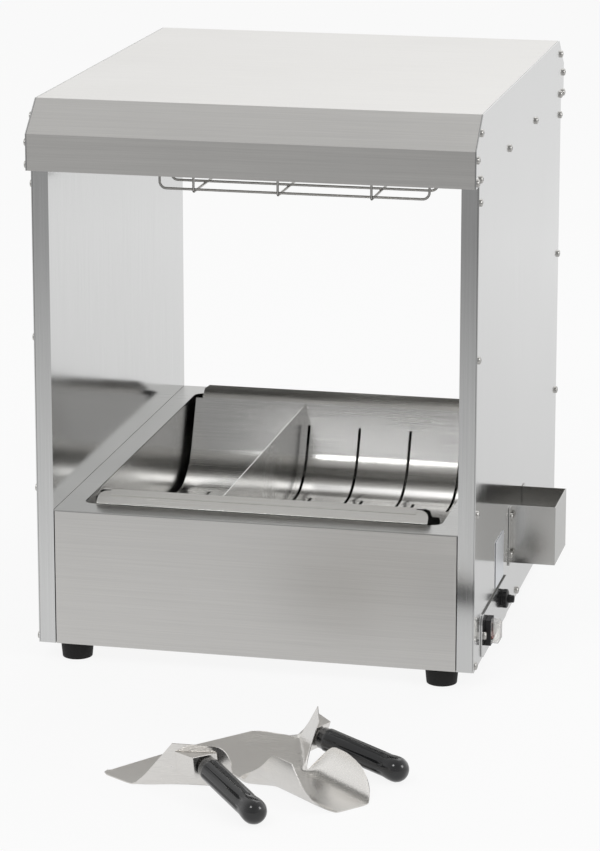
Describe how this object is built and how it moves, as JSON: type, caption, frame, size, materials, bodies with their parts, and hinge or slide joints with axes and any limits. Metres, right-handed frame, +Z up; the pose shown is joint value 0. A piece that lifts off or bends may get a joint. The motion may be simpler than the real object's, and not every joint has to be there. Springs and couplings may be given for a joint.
{
  "type": "french fry dump station",
  "caption": "Countertop pass-through fry warmer with infrared tubes and wire guard under a canopy, a heated well with a lift-out slotted tray, a scoop holder and loose fry scoops.",
  "frame": {"origin": "middle of the whole set seen from above, at the height of the feet undersides and the counter", "axes": "+Z up, +X to the right, the working side with the scoops faces -Y"},
  "size_m": [0.5584, 1.063, 0.6455],
  "materials": {
    "blank_plate": "bare satin plate",
    "boot": "clear soft plastic",
    "brass": "plain brass",
    "bright_steel": "bright steel",
    "brushed_steel": "brushed stainless sheet",
    "ceramic": "white ceramic",
    "gland_plastic": "moulded black",
    "grip": "black moulded, satin",
    "lead_sleeve": "woven glass sleeve",
    "polished_steel": "polished stainless sheet",
    "quartz": "frosted quartz",
    "rocker": "dark red, glossy",
    "rubber": "matt black",
    "scoop_steel": "satin stainless sheet",
    "switch_plastic": "moulded black"
  },
  "bodies": {
    "station": {"base_element": "bright_steel", "bottom_plate": "brushed_steel", "cable_gland": "gland_plastic", "canopy_cover": "brushed_steel", "canopy_soffit": "brushed_steel", "control_plate": "brushed_steel", "control_plate_screw_front": "bright_steel", "control_plate_screw_rear": "bright_steel", "deck_plate": "brushed_steel", "earth_stud": "brass", "element_clamp_left": "bright_steel", "element_clamp_right": "bright_steel", "element_lead_front": "lead_sleeve", "element_lead_rear": "lead_sleeve", "foot_front_left": "rubber", "foot_front_right": "rubber", "foot_rear_left": "rubber", "foot_rear_right": "rubber", "front_panel": "brushed_steel", "gland_locknut": "gland_plastic", "gland_nut": "gland_plastic", "heater_lead_front": "lead_sleeve", "heater_lead_rear": "lead_sleeve", "heater_reflector": "polished_steel", "infrared_tube_front": "quartz", "infrared_tube_rear": "quartz", "overheat_cutout": "ceramic", "rating_plate": "blank_plate", "rear_panel": "brushed_steel", "scoop_holder": "polished_steel", "side_frame_left": "brushed_steel", "side_frame_right": "brushed_steel", "side_sheet_left": "brushed_steel", "side_sheet_right": "brushed_steel", "supply_tail": "gland_plastic", "switch_boot": "boot", "switch_housing": "switch_plastic", "switch_lead": "lead_sleeve", "terminal_block": "ceramic", "tube_cap_front_left": "ceramic", "tube_cap_front_right": "ceramic", "tube_cap_rear_left": "ceramic", "tube_cap_rear_right": "ceramic", "tube_holder_left": "bright_steel", "tube_holder_right": "bright_steel", "tube_jumper": "lead_sleeve", "well_liner": "polished_steel", "wire_guard": "bright_steel"},
    "tray": {"tray_trough": "polished_steel", "tray_front_lip": "polished_steel", "tray_rear_lip": "polished_steel"},
    "divider": {"tray_divider": "polished_steel"},
    "rocker": {"switch_rocker": "rocker"},
    "scoop_left": {"scoop_left_blade": "scoop_steel", "scoop_left_grip": "grip", "scoop_left_socket": "scoop_steel"},
    "scoop_right": {"scoop_right_blade": "scoop_steel", "scoop_right_grip": "grip", "scoop_right_socket": "scoop_steel"}
  },
  "joints": [
    {"name": "tray_lift", "type": "slide", "parent": "station", "child": "tray", "axis": [0, 0, 1], "range_m": [0, 0.16]},
    {"name": "divider_lift", "type": "slide", "parent": "tray", "child": "divider", "axis": [0, 0, 1], "range_m": [0, 0.1]},
    {"name": "switch_tip", "type": "hinge", "parent": "station", "child": "rocker", "pos_m": [0.2294, 0.00093, 0.047], "axis": [0, 1, 0], "range_deg": [0, 20]},
    {"name": "scoop_left_lift", "type": "slide", "parent": "station", "child": "scoop_left", "axis": [0, 0, 1], "range_m": [0, 0.15]},
    {"name": "scoop_right_lift", "type": "slide", "parent": "station", "child": "scoop_right", "axis": [0, 0, 1], "range_m": [0, 0.15]}
  ]
}
